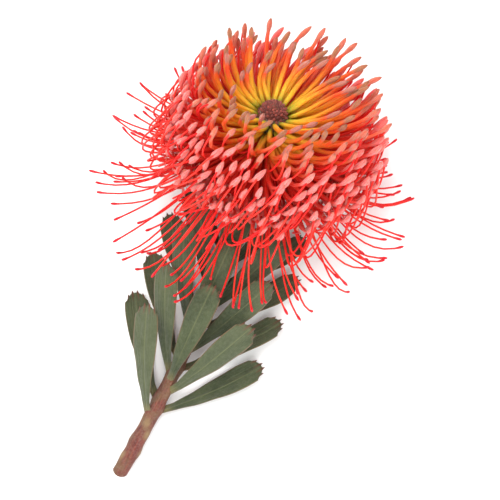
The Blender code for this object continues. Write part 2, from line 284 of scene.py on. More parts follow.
def record_parts(tree, name):
    """The three parts of one of a piece's surface records."""
    record = add_node(tree, "Attribute", attribute_name=name)
    parts = add_node(tree, "SeparateXYZ")
    feed(record.outputs["Vector"], parts, 0)
    return parts.outputs


def colour_ramp(value, stops):
    """A ramp of (position, colour) stops driven by a value."""
    ramp = add_node(value.id_data, "ValToRGB")
    elements = ramp.color_ramp.elements
    elements[0].position, elements[0].color = stops[0][0], (*stops[0][1], 1)
    elements[1].position, elements[1].color = stops[-1][0], (*stops[-1][1], 1)
    for position, colour in stops[1:-1]:
        elements.new(position).color = (*colour, 1)
    feed(value, ramp, 0)
    return ramp.outputs[0]


def mix_colours(mask, first, second):
    """Mixes two colours, each a socket or a plain colour, by a mask socket."""
    mixer = add_node(mask.id_data, "Mix", data_type="RGBA")
    feed(mask, mixer, 0)
    for colour, number in ((first, 6), (second, 7)):
        feed((*colour, 1) if isinstance(colour, tuple) else colour, mixer, number)
    return mixer.outputs[2]


def stepped(value, low, high, out_low=0.0, out_high=1.0):
    """The value carried smoothly from out_low at low to out_high at high."""
    ranged = add_node(value.id_data, "MapRange", interpolation_type="SMOOTHSTEP")
    for number, source in enumerate((value, low, high, out_low, out_high)):
        feed(source, ranged, number)
    return ranged.outputs[0]


def combine(operation, first, second):
    """A maths node on a socket and a second socket or a number."""
    maths = add_node(first.id_data, "Math", operation=operation)
    feed(first, maths, 0)
    feed(second, maths, 1)
    return maths.outputs[0]


def times(value, factor):
    return combine("MULTIPLY", value, factor)


def new_group(name, inputs, outputs):
    """A node group with float inputs and outputs; returns its tree and its two end nodes."""
    tree = bpy.data.node_groups.new(name, "ShaderNodeTree")
    for socket, default in inputs:
        made = tree.interface.new_socket(socket, in_out="INPUT", socket_type="NodeSocketFloat")
        made.default_value = default
    for socket in outputs:
        tree.interface.new_socket(socket, in_out="OUTPUT", socket_type="NodeSocketFloat")
    return tree, tree.nodes.new("NodeGroupInput"), tree.nodes.new("NodeGroupOutput")


def place_group(tree, group, **values):
    """Puts a node group in a material with its own values; returns its two masks."""
    return add_node(tree, "Group", node_tree=group, **values).outputs


def build_blotches():
    """Soft patches fixed in the piece: the bloom on bark and leaves, fading on petals."""
    tree, start, end = new_group("blotches", [("Patches per metre", 60.0)], ["Patches", "Specks"])
    where = add_node(tree, "TexCoord")
    broad = add_node(tree, "TexNoise", Detail=4.0, Roughness=0.6)
    speck = add_node(tree, "TexNoise", Detail=3.0, Roughness=0.7)
    for texture in (broad, speck):
        feed(where.outputs["Object"], texture, "Vector")
    feed(start.outputs[0], broad, "Scale")
    feed(times(start.outputs[0], 9.0), speck, "Scale")
    feed(stepped(broad.outputs[0], 0.32, 0.68), end, 0)
    feed(stepped(speck.outputs[0], 0.40, 0.72), end, 1)
    return tree


def build_fibres():
    """Fine lines that run the length of a grown piece: bark fibre, ribs, silky hair."""
    tree, start, end = new_group(
        "fibres", [("Lines round", 3.0), ("Breaks per metre", 60.0)], ["Lines", "Hairs"]
    )
    grain = record_parts(tree, "grain")
    for number, finer in enumerate((1.0, 2.6)):
        across = times(start.outputs[0], finer)
        around = add_node(tree, "CombineXYZ")
        feed(times(grain[0], across), around, 0)
        feed(times(grain[1], across), around, 1)
        feed(times(grain[2], start.outputs[1]), around, 2)
        texture = add_node(tree, "TexNoise", Scale=1.0, Detail=3.0, Roughness=0.65)
        feed(around.outputs[0], texture, "Vector")
        feed(stepped(texture.outputs[0], 0.30, 0.70), end, number)
    return tree


blotches = build_blotches()
fibres = build_fibres()


def bump(shader, height, depth):
    """Raises the surface by a height socket times a depth in metres."""
    raised = add_node(height.id_data, "Bump", Strength=1.0, Distance=depth)
    feed(height, raised, "Height")
    feed(raised.outputs[0], shader, "Normal")


def bark_material():
    """Maroon bark with long fibres, greener patches, a pale bloom and paler scars."""
    made, tree, shader = new_material("stem_bark", 0.62, Specular_IOR_Level=0.35)
    patches, specks = place_group(tree, blotches, Patches_per_metre=110.0)
    lines, hairs = place_group(tree, fibres, Lines_round=3.2, Breaks_per_metre=120.0)
    maroon = mix_colours(lines, (0.085, 0.016, 0.014), (0.21, 0.045, 0.030))
    greened = mix_colours(patches, maroon, (0.155, 0.085, 0.040))
    bloomed = mix_colours(times(specks, 0.35), greened, (0.27, 0.17, 0.14))
    scar = record_parts(tree, "growth")[1]
    scarred = mix_colours(scar, bloomed, (0.235, 0.150, 0.075))
    feed(scarred, shader, "Base Color")
    feed(stepped(hairs, 0.0, 1.0, 0.48, 0.75), shader, "Roughness")
    bump(shader, combine("ADD", lines, hairs), 0.00025)
    return made


def cut_wood_material():
    """Green-white wood with darker rays, round a spongy cream pith."""
    made, tree, shader = new_material("cut_wood", 0.7, Specular_IOR_Level=0.3)
    rings = record_parts(tree, "growth")
    specks = place_group(tree, blotches, Patches_per_metre=900.0)[1]
    wood = colour_ramp(rings[0], [
        (0.0, (0.52, 0.43, 0.25)), (0.34, (0.47, 0.38, 0.20)), (0.42, (0.62, 0.60, 0.36)),
        (0.86, (0.50, 0.52, 0.26)), (0.95, (0.20, 0.26, 0.08)),
    ])
    porous = mix_colours(times(specks, 0.35), wood, (0.25, 0.20, 0.10))
    feed(porous, shader, "Base Color")
    bump(shader, specks, 0.00015)
    return made


def build_stem():
    """Sweeps the stem, swells it under each leaf, and cuts its lower end on the slant."""
    sides = 20
    steps = 96
    cut_allowance = 0.012
    unevenness = 0.00012
    shape = new_shape()
    reach = stem_length() + cut_allowance - STEM_TOP_GAP
    lengths = [STEM_TOP_GAP + reach * i / steps for i in range(steps + 1)]
    places = [stem_place(distance) for distance in lengths]
    rings = sweep(shape, places, [stem_radius(distance) for distance in lengths], sides)
    # A low cushion stands under each leaf. Below the leaves are cushions with pale scars,
    # where leaves were stripped off.
    cushion_height = 0.0008
    cushion_length = 0.0030
    cushion_width = 0.55
    cushion_drop = 0.001
    scar_count = 5
    scar_step = 0.0048
    scars = []
    for number in range(scar_count):
        rank = LEAF_RANKS[(number + STEM_LEAVES) % len(LEAF_RANKS)]
        scars.append((STEM_LEAF_END + scar_step * (number + 1), rank))
    seats = leaf_seats() + scars
    growth = shape.verts.layers.float_vector["growth"]
    for distance, place, ring in zip(lengths, places, rings):
        for vert in ring:
            outward = (vert.co - place).normalized()
            swell = unevenness * noise.noise(vert.co * 260)
            scarred = 0.0
            for seat, around in seats:
                below = distance - seat - cushion_drop
                if abs(below) < 3 * cushion_length:
                    facing = outward.angle(stem_outward(seat, around), 0.0)
                    far = (below / cushion_length) ** 2 + (facing / cushion_width) ** 2
                    closeness = math.exp(-far)
                    swell += cushion_height * closeness
                    if (seat, around) in scars:
                        scarred = max(scarred, closeness)
            vert.co += outward * swell
            vert[growth] = (0.0, min(max(scarred * 2.5 - 0.9, 0.0), 1.0), 0.0)
    # The slanting cut, with rings on its face for the bark's edge, the wood and the pith.
    facing = Matrix.Rotation(STEM_CUT_SLANT, 3, "X") @ -stem_direction(stem_length())
    sliced = bmesh.ops.bisect_plane(
        shape, geom=shape.verts[:] + shape.edges[:] + shape.faces[:],
        plane_co=stem_place(stem_length()), plane_no=facing, clear_outer=True,
    )
    rim = [item for item in sliced["geom_cut"] if isinstance(item, bmesh.types.BMEdge)]
    face = bmesh.ops.edgeloop_fill(shape, edges=rim)["faces"][0]
    bmesh.ops.recalc_face_normals(shape, faces=shape.faces)
    for share, width in ((0.93, 0.00028), (0.44, 0.0019), (0.10, 0.0010)):
        borders = bmesh.ops.inset_region(shape, faces=[face], thickness=width)["faces"]
        for border in borders:
            border.material_index = 1
        for vert in face.verts:
            vert[growth] = (share, 0.0, 0.0)
    face.material_index = 1
    add_piece("stem_wood", shape, [bark_material(), cut_wood_material()], ["stem"])


build_stem()


# ---------------- leaves
# Tough strap-shaped leaves that sit on the stem by a broad foot and point to the head.
# Each is a thin blade under a grey bloom, with a midrib and four hard teeth at its tip.

LEAF_LENGTH = 0.054
LEAF_WIDTH = 0.0135
LEAF_THICKNESS = 0.0009
LEAF_STEM_GAP = 0.0007
LEAF_TOOTH = 0.0016
LEAF_FOOT_SHARE = 0.24
LEAF_ARCH = 0.05
LEAF_CUPPING = 0.10
LEAF_SPREAD = math.radians(24)
LEAF_EXTRA_SPREAD_SIDEWAYS = math.radians(14)
LEAF_EXTRA_SPREAD_NEAR_HEAD = math.radians(28)
LEAF_FLATTENING_SIDEWAYS = 0.72
NECK_LEAF_SCALE = 0.72
NECK_LEAF_SCALE_STEP = 0.02


def above_table(height, clearance):
    """Eases a height so that it comes to rest at the clearance and never goes under."""
    softness = 0.0010
    if (height - clearance) / softness > 30:
        return height
    return clearance + softness * math.log1p(math.exp((height - clearance) / softness))


def leaf_frame(distance, around):
    """Foot, direction, direction across, and upper face's direction of a leaf."""
    along = stem_direction(distance)
    outward = stem_outward(distance, around)
    sideways = abs(math.sin(around))
    spread = LEAF_SPREAD + LEAF_EXTRA_SPREAD_SIDEWAYS * sideways
    spread += LEAF_EXTRA_SPREAD_NEAR_HEAD * closeness_to_head(distance)
    direction = along * math.cos(spread) + outward * math.sin(spread)
    across = along.cross(outward).normalized()
    flat = direction.cross(Vector((0, 0, 1))).normalized()
    if flat.dot(across) < 0:
        flat = -flat
    flattened = LEAF_FLATTENING_SIDEWAYS * sideways
    across = (across * (1 - flattened) + flat * flattened).normalized()
    across = (across - direction * across.dot(direction)).normalized()
    face = direction.cross(across)
    if face.dot(outward) < 0:
        face = -face
    out = stem_radius(distance) + LEAF_STEM_GAP + LEAF_THICKNESS / 2
    return stem_place(distance) + outward * out, direction, across, face


def leaf_half_width(share):
    swell = math.sin(math.pi * min(share, 1.0) ** 1.35 * 0.72)
    return LEAF_WIDTH / 2 * (LEAF_FOOT_SHARE + (1 - LEAF_FOOT_SHARE) * max(swell, 0.0))


def leaf_material():
    """Upper and lower faces alike, grey-green and dull, with pale ribs and dark teeth. The greens
    are darkened with painted shade.
    """
    made, tree, shader = new_material("leaf_blade", 0.6, Specular_IOR_Level=0.3, Sheen_Weight=0.2)
    grain = record_parts(tree, "grain")
    growth = record_parts(tree, "growth")
    patches, specks = place_group(tree, blotches, Patches_per_metre=70.0)
    lines = place_group(tree, fibres, Lines_round=9.0, Breaks_per_metre=35.0)[0]
    # The leaf's own grey-green, darkened as painted shade for leaves that lie shaded in the bunch.
    green = mix_colours(patches, (0.026, 0.039, 0.011), (0.062, 0.078, 0.028))
    yellowing = stepped(growth[2], 0.2, 1.0, 0.0, 0.40)
    tinted = mix_colours(yellowing, green, (0.080, 0.090, 0.040))
    veined = mix_colours(times(lines, 0.30), tinted, (0.030, 0.046, 0.016))
    bloomed = mix_colours(times(specks, 0.35), veined, (0.125, 0.142, 0.088))
    off_rib = combine("ABSOLUTE", grain[0], 0.0)
    rib = stepped(off_rib, 0.02, 0.09, 0.42, 0.0)
    ribbed = mix_colours(rib, bloomed, (0.130, 0.145, 0.060))
    margin = stepped(off_rib, 0.90, 1.0, 0.0, 0.55)
    edged = mix_colours(margin, ribbed, (0.22, 0.10, 0.045))
    foot = stepped(growth[0], 0.0, 0.10, 0.55, 0.0)
    footed = mix_colours(foot, edged, (0.26, 0.20, 0.07))
    toothed = mix_colours(growth[1], footed, (0.15, 0.020, 0.012))
    feed(toothed, shader, "Base Color")
    feed(stepped(specks, 0.0, 1.0, 0.52, 0.72), shader, "Roughness")
    raised = combine("ADD", times(rib, 1.6), lines)
    bump(shader, raised, 0.00022)
    return made


def build_leaf(name, distance, around, scale, finish, chance):
    """Bends a grid into one leaf, in its place on the stem, and gives it thickness."""
    columns = 16
    rows = 30
    thickness = 0.0006
    tooth_columns = (2, 6, 10, 14)
    tip_share = 0.90
    tip_rounding = 0.0042
    tip_hollow = 0.0006
    waviness = 0.0007
    rib_depth = 0.00035
    rib_width = 0.12
    root_share = 0.09
    root_sink = 0.0024
    root_run_back = 0.0012
    foot, direction, across, face = leaf_frame(distance, around)
    inward = -stem_outward(distance, around)
    along = stem_direction(distance)
    shape = new_shape()
    grain, growth = surface_records(shape)
    bmesh.ops.create_grid(shape, x_segments=columns, y_segments=rows, size=1.0)
    for vert in shape.verts:
        side = vert.co.x
        share = (vert.co.y + 1) / 2
        column = round((side + 1) / 2 * columns)
        half = leaf_half_width(share) * scale
        # The tip is rounded off, with the teeth standing out of it.
        tipping = max((share - tip_share) / (1 - tip_share), 0.0)
        tooth = tipping**2 if column in tooth_columns else 0.0
        length = LEAF_LENGTH * scale * share
        length -= tip_rounding * abs(side) ** 2.2 * tipping
        length += LEAF_TOOTH * tooth - tip_hollow * tipping
        wave = waviness * noise.noise(Vector((share * 4.0, side * 0.8, chance * 50)))
        arch = LEAF_ARCH * LEAF_LENGTH * math.sin(math.pi * share) + 2 * wave * abs(side)
        cupping = LEAF_CUPPING * half * side**2
        half += 0.25 * wave
        trough = rib_depth * math.exp(-((side / rib_width) ** 2)) * (1 - share * 0.6)
        # The foot clasps the stem: it bends in, runs back a little and wraps round.
        root = max(1 - share / root_share, 0.0)
        half *= 1 + 0.15 * root
        spot = foot + direction * length + across * (side * half)
        spot += face * (arch - cupping - trough)
        spot += inward * root_sink * (0.45 * root + 0.55 * root * side**2)
        spot -= along * root_run_back * root
        spot.z = above_table(spot.z, LEAF_THICKNESS)
        vert.co = spot
        vert[grain] = (side, 0.4 * side, chance + length)
        vert[growth] = (share, tooth**0.6, chance)
    bmesh.ops.solidify(shape, geom=shape.faces[:], thickness=thickness)
    add_piece(name, shape, [finish], [name])


leaf_finish = leaf_material()
for number, (distance, around) in enumerate(leaf_seats()):
    if number < NECK_LEAVES:
        leaf_scale = NECK_LEAF_SCALE + NECK_LEAF_SCALE_STEP * number
    else:
        share = (number - NECK_LEAVES) / (STEM_LEAVES - 1)
        leaf_scale = 0.80 + 0.20 * min(share / 0.2, 1.0)
    build_leaf(
        f"leaf_{number + 1:02d}", distance, around, leaf_scale, leaf_finish,
        random.Random(number).random(),
    )


# ---------------- receptacle
# The woody cone that every floret stands on. It is set with the stubs of floret feet and
# felted with short pale hairs, and only shows in the gaps between the tubes.

RECEPTACLE_BASE_RADIUS = 0.0088
GOLDEN_TURN = math.pi * (3 - math.sqrt(5))


def in_head(radius, height, azimuth):
    """A place round the head's axis, in the frame. Azimuth 0 faces the head's lean."""
    flat = Vector((radius * math.sin(azimuth), radius * math.cos(azimuth), height))
    return head_matrix @ flat


def sweep_on_axis(shape, outline, sides):
    """Sweeps an outline of (radius, height) pairs round the head's axis."""
    places = [in_head(0, height, 0) for radius, height in outline]
    sweep(shape, places, [radius for radius, height in outline], sides)


def felt_material(name, dark, light):
    """Short matted hair: pale lines and tufts over a darker skin."""
    made, tree, shader = new_material(name, 0.9, Specular_IOR_Level=0.15, Sheen_Weight=0.5)
    patches, specks = place_group(tree, blotches, Patches_per_metre=500.0)
    hairs = place_group(tree, fibres, Lines_round=7.0, Breaks_per_metre=400.0)[1]
    felt = times(hairs, patches)
    feed(mix_colours(felt, dark, light), shader, "Base Color")
    bump(shader, combine("ADD", hairs, specks), 0.0003)
    return made


def build_receptacle():
    """Sweeps the cone and sets stubs in it in a spiral."""
    outline = (
        (0.006, 0.0000), (0.0078, 0.0010), (0.0088, 0.0040), (0.0083, 0.0100),
        (0.0077, 0.0160), (0.0071, 0.0215), (0.0066, 0.0262),
    )
    stubs = 150
    shape = new_shape()
    sweep_on_axis(shape, outline, 24)
    for number in range(stubs):
        share = (number + 0.5) / stubs
        height = 0.003 + 0.0225 * share
        radius = RECEPTACLE_BASE_RADIUS - 0.0021 * share
        azimuth = number * GOLDEN_TURN
        foot = in_head(radius - 0.0006, height, azimuth)
        tip = in_head(radius + 0.0012, height + 0.0004, azimuth)
        middle = foot.lerp(tip, 0.6)
        sweep(shape, [foot, middle, tip], [0.0006, 0.0007, 0.0003], 5, chance=share)
    finish = felt_material("receptacle_tissue", (0.10, 0.08, 0.015), (0.42, 0.33, 0.08))
    add_piece("receptacle_cone", shape, [finish], ["receptacle"])


build_receptacle()


# ---------------- bracts
# The collar under the head is rows of small pointed scales on a cup round the stem's top.
# They overlap like roof tiles, and silky grey hair covers them and fringes their edges.

GAP = 0.0004


def build_bracts():
    """Sweeps the cup, then lays rows of scales on it from the stem up to the florets."""
    rows = 6
    per_row = 13
    thickness = 0.00030
    shape = new_shape()
    grain, growth = surface_records(shape)
    outline = (
        (0.0042, -0.0078), (0.0062, -0.0062), (0.0082, -0.0030), (0.0096, -0.0005),
        (0.0100, 0.0014), (0.0092, 0.0024),
    )
    sweep_on_axis(shape, outline, 26)
    dice = random.Random(41)
    for row in range(rows):
        rise = row / (rows - 1)
        foot_radius = 0.0046 + 0.0056 * rise
        foot_height = -0.0076 + 0.0076 * rise
        for number in range(per_row):
            azimuth = 2 * math.pi * (number + 0.5 * (row % 2)) / per_row + dice.uniform(-0.04, 0.04)
            chance = dice.random()
            length = 0.0046 + 0.0012 * chance
            width = 0.0019 + 0.0006 * rise
            made = bmesh.ops.create_grid(shape, x_segments=4, y_segments=5, size=1.0)
            for vert in made["verts"]:
                side, share = vert.co.x, (vert.co.y + 1) / 2
                half = width * (1 - share**2.2) * (0.75 + 0.6 * share)
                climb = math.radians(38 + 22 * rise) + 0.25 * share
                out = length * share * math.cos(climb) + 0.0004 - 0.0004 * side**2
                turn = azimuth + side * half / (foot_radius + out)
                level = foot_height + length * share * math.sin(climb)
                vert.co = in_head(foot_radius + out, level, turn)
                vert[grain] = (side, 0.3 * side, chance + share * length)
                vert[growth] = (share, rise, chance)
            faces = list(dict.fromkeys(face for vert in made["verts"] for face in vert.link_faces))
            bmesh.ops.solidify(shape, geom=faces, thickness=thickness)
    finish = felt_material("bract_wool", (0.20, 0.10, 0.06), (0.62, 0.50, 0.40))
    add_piece("involucre_bracts", shape, [finish], ["involucre"])


build_bracts()


# ---------------- button
# The closed centre of the head is a dome of bud tips still packed in a spiral.
# Each tip is a purple-brown knob with short coarse hairs that catch the light.

CROWN_RADIUS = 0.0061
CROWN_HEIGHT = 0.0056


def button_material():
    """Purple-brown knobs of differing tone, greener at the skirt, with pale hairs."""
    made, tree, shader = new_material("crown_wool", 0.85, Specular_IOR_Level=0.15, Sheen_Weight=0.15)
    growth = record_parts(tree, "growth")
    specks = place_group(tree, blotches, Patches_per_metre=700.0)[1]
    knob = mix_colours(growth[2], (0.110, 0.012, 0.010), (0.56, 0.110, 0.080))
    skirt = stepped(growth[0], 0.62, 0.95, 0.0, 0.7)
    greener = mix_colours(skirt, knob, (0.16, 0.12, 0.02))
    woolly = mix_colours(times(specks, 0.5), greener, (0.55, 0.16, 0.12))
    haired = mix_colours(growth[1], woolly, (0.72, 0.33, 0.27))
    feed(haired, shader, "Base Color")
    bump(shader, specks, 0.0002)
    return made


def build_button():
    """Sweeps a dome with a skirt below it, and sets buds in a spiral and hairs all over it."""
    buds = 150
    bud_radius = 0.00080
    hairs = 420
    skirt_drop = 0.0055
    skirt_flare = 0.0009
    furthest = 1.5
    bottom = RECEPTACLE_HEIGHT + GAP
    rise = CROWN_HEIGHT * 0.86
    shape = new_shape()
    growth = shape.verts.layers.float_vector["growth"]
    dice = random.Random(7)

    def button_point(share):
        """Radius and height on the dome for shares up to 1, and on its skirt beyond."""
        if share <= 1:
            return CROWN_RADIUS * share, bottom + rise * math.sqrt(1 - share**2)
        down = (share - 1) / (furthest - 1)
        return CROWN_RADIUS + skirt_flare * down, bottom - skirt_drop * down

    shares = (1.5, 1.25, 1.0, 0.97, 0.87, 0.7, 0.5, 0.26, 0.06)
    sweep_on_axis(shape, [button_point(share) for share in shares], 24)
    inward = in_head(0, bottom - CROWN_HEIGHT * 0.8, 0)
    for number in range(buds):
        share = furthest * math.sqrt((number + 0.5) / buds)
        radius, height = button_point(share)
        spot = in_head(radius, height, number * GOLDEN_TURN)
        facing = (spot - inward).normalized()
        size = bud_radius * (0.7 + 0.4 * share)
        seat = seat_at(spot, facing, "Y") @ Matrix.Diagonal((size, size, size * 1.9, 1))
        made = bmesh.ops.create_icosphere(shape, subdivisions=1, radius=1.0, matrix=seat)
        chance = dice.random()
        for vert in made["verts"]:
            vert[growth] = (share / furthest, 0.0, chance)
    for number in range(hairs):
        share = furthest * math.sqrt(dice.random())
        radius, height = button_point(share)
        spot = in_head(radius, height, dice.uniform(0, 2 * math.pi))
        facing = (spot - inward).normalized()
        facing += Vector([dice.uniform(-0.5, 0.5) for axis in range(3)])
        length = dice.uniform(0.0010, 0.0019)
        made = bmesh.ops.create_cone(
            shape, cap_ends=True, segments=3, radius1=0.00013, radius2=0.00001, depth=length,
            matrix=seat_at(spot + facing * length / 2, facing, "Y"),
        )
        for vert in made["verts"]:
            vert[growth] = (share / furthest, dice.uniform(0.2, 1.0), 0.5)
    add_piece("crown_button_buds", shape, [button_material()], ["crown_button"])


build_button()


# ---------------- crown florets
# The youngest florets, a few short tubes round the button. Each is a smooth fleshy tube,
# lime at the foot and orange above, that narrows at a neck and ends in a woolly club.

PULL_AT_BASE = 0.42
PULL_AT_TIP = 0.40
HEAD_DRIFT = 0.0060


def bezier(start, out, into, end, share):
    rest = 1 - share
    return (
        start * rest**3 + out * (3 * rest**2 * share)
        + into * (3 * rest * share**2) + end * share**3
    )


def profile_point(base, base_angle, tip, tip_angle, share):
    """Radius and height along a floret that leaves and ends at the given angles."""
    start, end = Vector(base), Vector(tip)
    reach = (end - start).length
    out = start + Vector((math.cos(base_angle), math.sin(base_angle))) * reach * PULL_AT_BASE
    into = end - Vector((math.cos(tip_angle), math.sin(tip_angle))) * reach * PULL_AT_TIP
    return bezier(start, out, into, end, share)


def rest_on_table(spot, clearance):
    return Vector((spot.x, spot.y, above_table(spot.z, clearance)))


def between(pair, share):
    """A value or a vector part of the way from the first of a pair to the second."""
    first, second = pair
    if isinstance(first, tuple):
        first, second = Vector(first), Vector(second)
    return first + (second - first) * share


def floret_material(name, tube_stops, club_colours):
    """A tube coloured along its length, and a club with pale and dark streaks of silky hair, whose
    pale streaks are partly a painted highlight.
    """
    made, tree, shader = new_material(
        name, 0.42, Specular_IOR_Level=0.2, Subsurface_Weight=0.5, Subsurface_Scale=0.004,
    )
    growth = record_parts(tree, "growth")
    specks = place_group(tree, blotches, Patches_per_metre=260.0)[1]
    lines, hairs = place_group(tree, fibres, Lines_round=2.4, Breaks_per_metre=260.0)
    ripened = combine("ADD", growth[0], times(growth[1], 0.12))
    unlike = times(combine("SUBTRACT", growth[2], 0.5), 0.10)
    drifted = combine("ADD", ripened, unlike)
    tube = colour_ramp(drifted, tube_stops)
    ribbed = mix_colours(times(lines, 0.22), tube, (0.45, 0.06, 0.01))
    club_colour, club_shade, club_tip = club_colours
    # The pale streaks in club_colour are partly the hair's own colour and partly a painted highlight
    # of silky sheen.
    club = mix_colours(hairs, club_shade, club_colour)
    varied = mix_colours(times(growth[2], 0.30), club, club_shade)
    tipped = mix_colours(stepped(growth[0], 0.955, 1.0, 0.0, 0.8), varied, club_tip)
    on_club = stepped(growth[0], 0.790, 0.895)
    feed(mix_colours(on_club, ribbed, tipped), shader, "Base Color")
    feed(stepped(on_club, 0.0, 1.0, 0.34, 0.80), shader, "Roughness")
    feed(times(on_club, 0.25), shader, "Sheen Weight")
    height = combine("ADD", times(hairs, specks), times(lines, 0.5))
    bump(shader, height, 0.00025)
    return made


def style_material():
    """Glossy scarlet wire, deeper where it is older and at its ends."""
    made, tree, shader = new_material(
        "style_wire", 0.4, Specular_IOR_Level=0.22, Subsurface_Weight=0.4, Subsurface_Scale=0.002,
    )
    growth = record_parts(tree, "growth")
    specks = place_group(tree, blotches, Patches_per_metre=320.0)[1]
    lines, hairs = place_group(tree, fibres, Lines_round=2.0, Breaks_per_metre=150.0)
    red = mix_colours(growth[2], (0.78, 0.012, 0.013), (0.90, 0.050, 0.030))
    shaded = mix_colours(times(lines, 0.35), red, (0.66, 0.008, 0.012))
    ended = mix_colours(growth[1], shaded, (0.58, 0.016, 0.026))
    feed(ended, shader, "Base Color")
    feed(stepped(specks, 0.0, 1.0, 0.34, 0.50), shader, "Roughness")
    bump(shader, combine("ADD", hairs, specks), 0.00006)
    return made


def merge(part, shape):
    """Moves a finished part into a shape, with its surface records."""
    mesh = bpy.data.meshes.new("part")
    part.to_mesh(mesh)
    part.free()
    shape.from_mesh(mesh)
    bpy.data.meshes.remove(mesh)


def grow_florets(
    kind, ranks, tube_stops, club_colours, base, base_angle, tip, tip_angle, tube_radius, club,
    bow, unruly,
):
    """Grows one tier of florets with their styles, as two pieces.

    base, base_angle, tip, tip_angle and tube_radius are (innermost, outermost) pairs. club
    is (radius, length). bow is how far each style loops out, as a share of its reach, and
    unruly is how much the florets differ, 1 being little. club_colours are the colours of
    the club's pale streaks (partly the hair's colour, partly a painted highlight), dark streaks and
    tip.
    """
    sides = 6
    lean_in = 25
    wire_radius = 0.00050
    wire_steps = 14
    droop = 0.45
    tubes = new_shape()
    wires = new_shape()
    dice = random.Random(kind)
    club_radius, club_length = club
    for rank in ranks:
        age = (rank - ranks[0] + 0.5) / len(ranks)
        chance = dice.random()
        azimuth = rank * GOLDEN_TURN + dice.uniform(-0.04, 0.04)
        swirl = math.radians(dice.uniform(-4, 4) * unruly)
        bend = math.radians(dice.uniform(-4, 4) * unruly)
        start = between(base, age)
        finish_at = between(tip, age) * (1 + dice.uniform(-0.060, 0.035) * unruly)
        start_angle = math.radians(between(base_angle, age) + dice.uniform(-4, 4))
        # Clubs over the stem lean in further, towards the head's axis.
        facing_back = (1 - math.cos(azimuth)) / 2
        tilt = lean_in * facing_back + dice.uniform(-7, 7) * unruly
        end_angle = math.radians(between(tip_angle, age) + tilt)
        radius = between(tube_radius, age) * dice.uniform(0.86, 1.06)
        reach = (finish_at - start).length * 1.08
        neck = 1 - club_length / reach
        # The club takes the last 0.16 of the recorded length, whatever its real length is.
        stations = (
            (0.00, 0.00, radius * 0.85), (0.12, 0.10, radius), (0.35, 0.30, radius),
            (0.60, 0.52, radius * 0.95), (0.85, 0.72, radius * 0.88), (0.96, 0.80, radius * 0.76),
            (1.00, 0.84, radius * 0.80),
        )
        on_club = (
            (0.20, 0.87, club_radius * 0.80), (0.42, 0.90, club_radius),
            (0.66, 0.94, club_radius * 0.94), (0.88, 0.97, club_radius * 0.62),
            (1.00, 1.00, club_radius * 0.22),
        )
        path = [(neck * along, share, wide) for along, share, wide in stations]
        path += [(neck + (1 - neck) * along, share, wide) for along, share, wide in on_club]
        places = []
        for along, share, wide in path:
            out, height = profile_point(start, start_angle, finish_at, end_angle, along)
            turn = azimuth + swirl * along + bend * math.sin(math.pi * along)
            spot = in_head(out, height, turn)
            spot.x += HEAD_DRIFT * along**3
            places.append(rest_on_table(spot, club_radius + 0.0001))
        tube = new_shape()
        sweep(
            tube, places, [wide for along, share, wide in path], sides,
            mark=age, chance=chance, shares=[share for along, share, wide in path],
        )
        merge(tube, tubes)
        if bow == 0:
            continue
        # The style leaves the floret's foot, bows out, and goes back into the club's outer side.
        club_foot = places[7]
        club_top = places[-1]
        rising = (club_top - club_foot).normalized()
        turn = azimuth + swirl
        outward = (in_head(1, 0, turn) - in_head(0, 0, 0)).normalized()
        upward = (in_head(0, 1, 0) - in_head(0, 0, 0)).normalized()
        aside = outward.cross(upward) * dice.uniform(-0.38, 0.38)
        first = places[0] - upward * radius
        last = club_foot + outward * club_radius * 0.7 + rising * club_length * 0.25
        gap = (last - first).length
        strength = bow * gap * dice.uniform(0.85, 1.15)
        out = first + (outward - upward * droop + aside).normalized() * strength
        into = last + (outward * 0.42 - rising + aside).normalized() * strength
        wire_places = [
            rest_on_table(bezier(first, out, into, last, i / (wire_steps - 1)), 0.0006)
            for i in range(wire_steps)
        ]
        wire = new_shape()
        sweep(wire, wire_places, [wire_radius] * wire_steps, 5, chance=chance)
        merge(wire, wires)
    finish = floret_material(kind + "_floret", tube_stops, club_colours)
    nodes = [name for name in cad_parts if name.startswith(kind + "_florets_")]
    add_piece(kind + "_floret_tubes", tubes, [finish], nodes)
    if bow > 0:
        add_piece(kind + "_floret_styles", wires, [style_finish], [])
    else:
        wires.free()


LIME = (0.42, 0.46, 0.040)
LEMON = (0.93, 0.52, 0.035)
AMBER = (0.94, 0.30, 0.030)
VERMILION = (0.93, 0.105, 0.030)
SCARLET = (0.88, 0.034, 0.024)

style_finish = style_material()
grow_florets(
    "crown", range(0, 16),
    tube_stops=[(0.05, LIME), (0.28, LEMON), (0.62, AMBER), (0.85, VERMILION)],
    club_colours=((0.56, 0.24, 0.17), (0.36, 0.11, 0.08), (0.17, 0.06, 0.04)),
    base=((0.0080, 0.0262), (0.0084, 0.0248)), base_angle=(38, 30),
    tip=((0.0250, 0.0440), (0.0330, 0.0520)), tip_angle=(52, 62), tube_radius=(0.00120, 0.00140),
    club=(0.00130, 0.0064), bow=0, unruly=2.2,
)


# ---------------- inner florets
# The first full ring of tubes, the thickest and yellowest. They arch outwards from the
# button and turn up, with olive-brown clubs.

grow_florets(
    "inner", range(16, 50),
    tube_stops=[(0.04, LIME), (0.24, LEMON), (0.62, AMBER), (0.86, VERMILION)],
    club_colours=((0.50, 0.21, 0.10), (0.28, 0.10, 0.045), (0.16, 0.06, 0.03)),
    base=((0.0086, 0.0240), (0.0090, 0.0205)), base_angle=(24, 14),
    tip=((0.0335, 0.0520), (0.0410, 0.0525)), tip_angle=(62, 70), tube_radius=(0.00140, 0.00130),
    club=(0.00132, 0.0068), bow=0, unruly=2.4,
)


# ---------------- upper florets
# The next rows down, orange fleshy tubes set close on the cone. Their woolly clubs turn
# from olive-brown to dull pink, and the first styles start to bow out between them.

